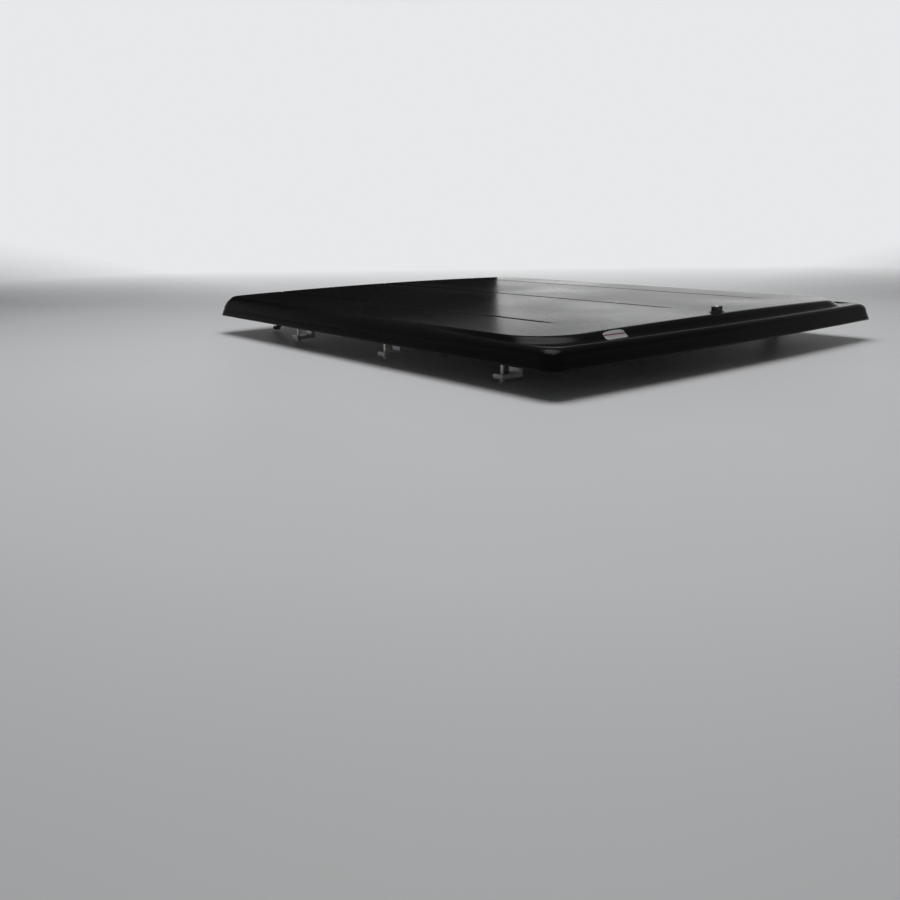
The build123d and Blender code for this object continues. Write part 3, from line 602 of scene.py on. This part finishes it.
def buildStage(look):
    material, tree, shader, place = newMaterial("floorPale", look["floorColor"], 0.55)
    patches = addNoise(tree, place, 0.8, 3)
    darker = tuple(c * 0.97 for c in look["floorColor"])
    tree.links.new(addColors(tree, patches, darker, look["floorColor"]), shader.inputs["Base Color"])
    bright = tuple(c * look["wallBright"] for c in look["worldColor"])
    dim = tuple(c * look["wallDim"] for c in look["worldColor"])
    high = tuple(c * look["skyHigh"] for c in look["worldColor"])
    turn = radians(look["brightTurn"])
    brightWay = (sin(turn), cos(turn), 0)

    def wallColors(nodeTree, direction):
        facing = nodeTree.nodes.new("ShaderNodeVectorMath")
        facing.operation = "DOT_PRODUCT"
        facing.inputs[1].default_value = brightWay
        nodeTree.links.new(direction, facing.inputs[0])
        return addColors(nodeTree, facing.outputs["Value"], dim, bright, 0.5, 0.85)

    wall = tree.nodes.new("ShaderNodeEmission")
    outward = tree.nodes.new("ShaderNodeVectorMath")
    outward.operation = "NORMALIZE"
    tree.links.new(place, outward.inputs[0])
    tree.links.new(wallColors(tree, outward.outputs["Vector"]), wall.inputs["Color"])
    distance = tree.nodes.new("ShaderNodeVectorMath")
    distance.operation = "LENGTH"
    tree.links.new(place, distance.inputs[0])
    along = tree.nodes.new("ShaderNodeVectorMath")
    along.operation = "DOT_PRODUCT"
    along.inputs[1].default_value = brightWay
    tree.links.new(place, along.inputs[0])
    farAway = addRange(tree, distance.outputs["Value"], 0, 1, look["fadeStart"], look["fadeEnd"])
    farAhead = addRange(tree, along.outputs["Value"], 0, 1, look["aheadStart"], look["aheadEnd"])
    fade = tree.nodes.new("ShaderNodeMath")
    fade.operation = "MAXIMUM"
    tree.links.new(farAway, fade.inputs[0])
    tree.links.new(farAhead, fade.inputs[1])
    blend = tree.nodes.new("ShaderNodeMixShader")
    tree.links.new(fade.outputs["Value"], blend.inputs[0])
    tree.links.new(shader.outputs[0], blend.inputs[1])
    tree.links.new(wall.outputs[0], blend.inputs[2])
    tree.links.new(blend.outputs[0], tree.nodes["Material Output"].inputs["Surface"])
    reach = look["floorReach"]
    corners = [(-reach, -reach, 0), (reach, -reach, 0), (reach, reach, 0), (-reach, reach, 0)]
    floor = makePiece("paleFloor", corners, [(0, 1, 2, 3)], material, False)
    world = bpy.data.worlds.new("softRoom")
    world.use_nodes = True
    tree = world.node_tree
    background = tree.nodes["Background"]
    background.inputs["Strength"].default_value = 1
    place = tree.nodes.new("ShaderNodeTexCoord")
    split = tree.nodes.new("ShaderNodeSeparateXYZ")
    tree.links.new(place.outputs["Generated"], split.inputs["Vector"])
    upward = addRange(tree, split.outputs["Z"], 0, 1, *look["ceilingFade"])
    mixer = tree.nodes.new("ShaderNodeMix")
    mixer.data_type = "RGBA"
    tree.links.new(upward, mixer.inputs[0])
    tree.links.new(wallColors(tree, place.outputs["Generated"]), mixer.inputs[6])
    mixer.inputs[7].default_value = (*high, 1)
    tree.links.new(mixer.outputs[2], background.inputs["Color"])
    bpy.context.scene.world = world
    bpy.context.scene.view_settings.view_transform = "Standard"

    flagMaterial = newMaterial("flagCloth", (0.012, 0.012, 0.013), 0.9)[0]
    flagY = skinHigh.y + look["flagGap"]
    bottom, top, half = look["flagBottom"], look["flagTop"], look["flagHalf"]
    corners = [(-half, flagY, bottom), (half, flagY, bottom), (half, flagY, top), (-half, flagY, top)]
    flag = makePiece("darkFlag", corners, [(0, 1, 2, 3)], flagMaterial, False)
    flag.visible_camera = flag.visible_diffuse = flag.visible_shadow = False


buildStage(stageLook)

lightLook = {
    "farStrip": {
        "place": (6.2, 4.6, 0.7),
        "aim": (0.4, -0.3, 0.14),
        "width": 7.0,
        "height": 0.9,
        "power": 20,
    },
    "overheadSoftbox": {
        "place": (-0.6, -0.2, 4.2),
        "aim": (0, 0, 0.1),
        "width": 3.6,
        "height": 3.6,
        "power": 135,
    },
}


def addLight(name, look):
    lamp = bpy.data.lights.new(name, "AREA")
    lamp.energy = look["power"]
    lamp.shape = "RECTANGLE"
    lamp.size = look["width"]
    lamp.size_y = look["height"]
    direction = Vector(look["aim"]) - Vector(look["place"])
    holder = bpy.data.objects.new(name, lamp)
    holder.location = look["place"]
    holder.rotation_euler = direction.to_track_quat("-Z", "Y").to_euler()
    holder.visible_camera = False
    bpy.context.scene.collection.objects.link(holder)


for lightName, look in lightLook.items():
    addLight(lightName, look)
print("stage and lights")

cameraLook = {
    "place": (-2.322, -2.361, 0.447),
    "turn": 39.31,  # degrees to the right of straight ahead
    "dip": 15.14,
    "roll": -0.68,
    "lens": 34.55,
}


def buildCamera(look):
    turn, dip, roll = radians(look["turn"]), radians(look["dip"]), radians(look["roll"])
    ahead = Vector((sin(turn) * cos(dip), cos(turn) * cos(dip), -sin(dip)))
    right = Vector((cos(turn), -sin(turn), 0))
    up = right.cross(ahead)
    tiltedRight = right * cos(roll) + up * sin(roll)
    tiltedUp = up * cos(roll) - right * sin(roll)
    data = bpy.data.cameras.new("mainCamera")
    data.lens = look["lens"]
    data.sensor_width = 36
    data.clip_end = 200
    camera = bpy.data.objects.new("mainCamera", data)
    turned = Matrix((tiltedRight, tiltedUp, -ahead)).transposed().to_4x4()
    camera.matrix_world = Matrix.Translation(look["place"]) @ turned
    bpy.context.scene.collection.objects.link(camera)
    bpy.context.scene.camera = camera


buildCamera(cameraLook)
print("camera set")
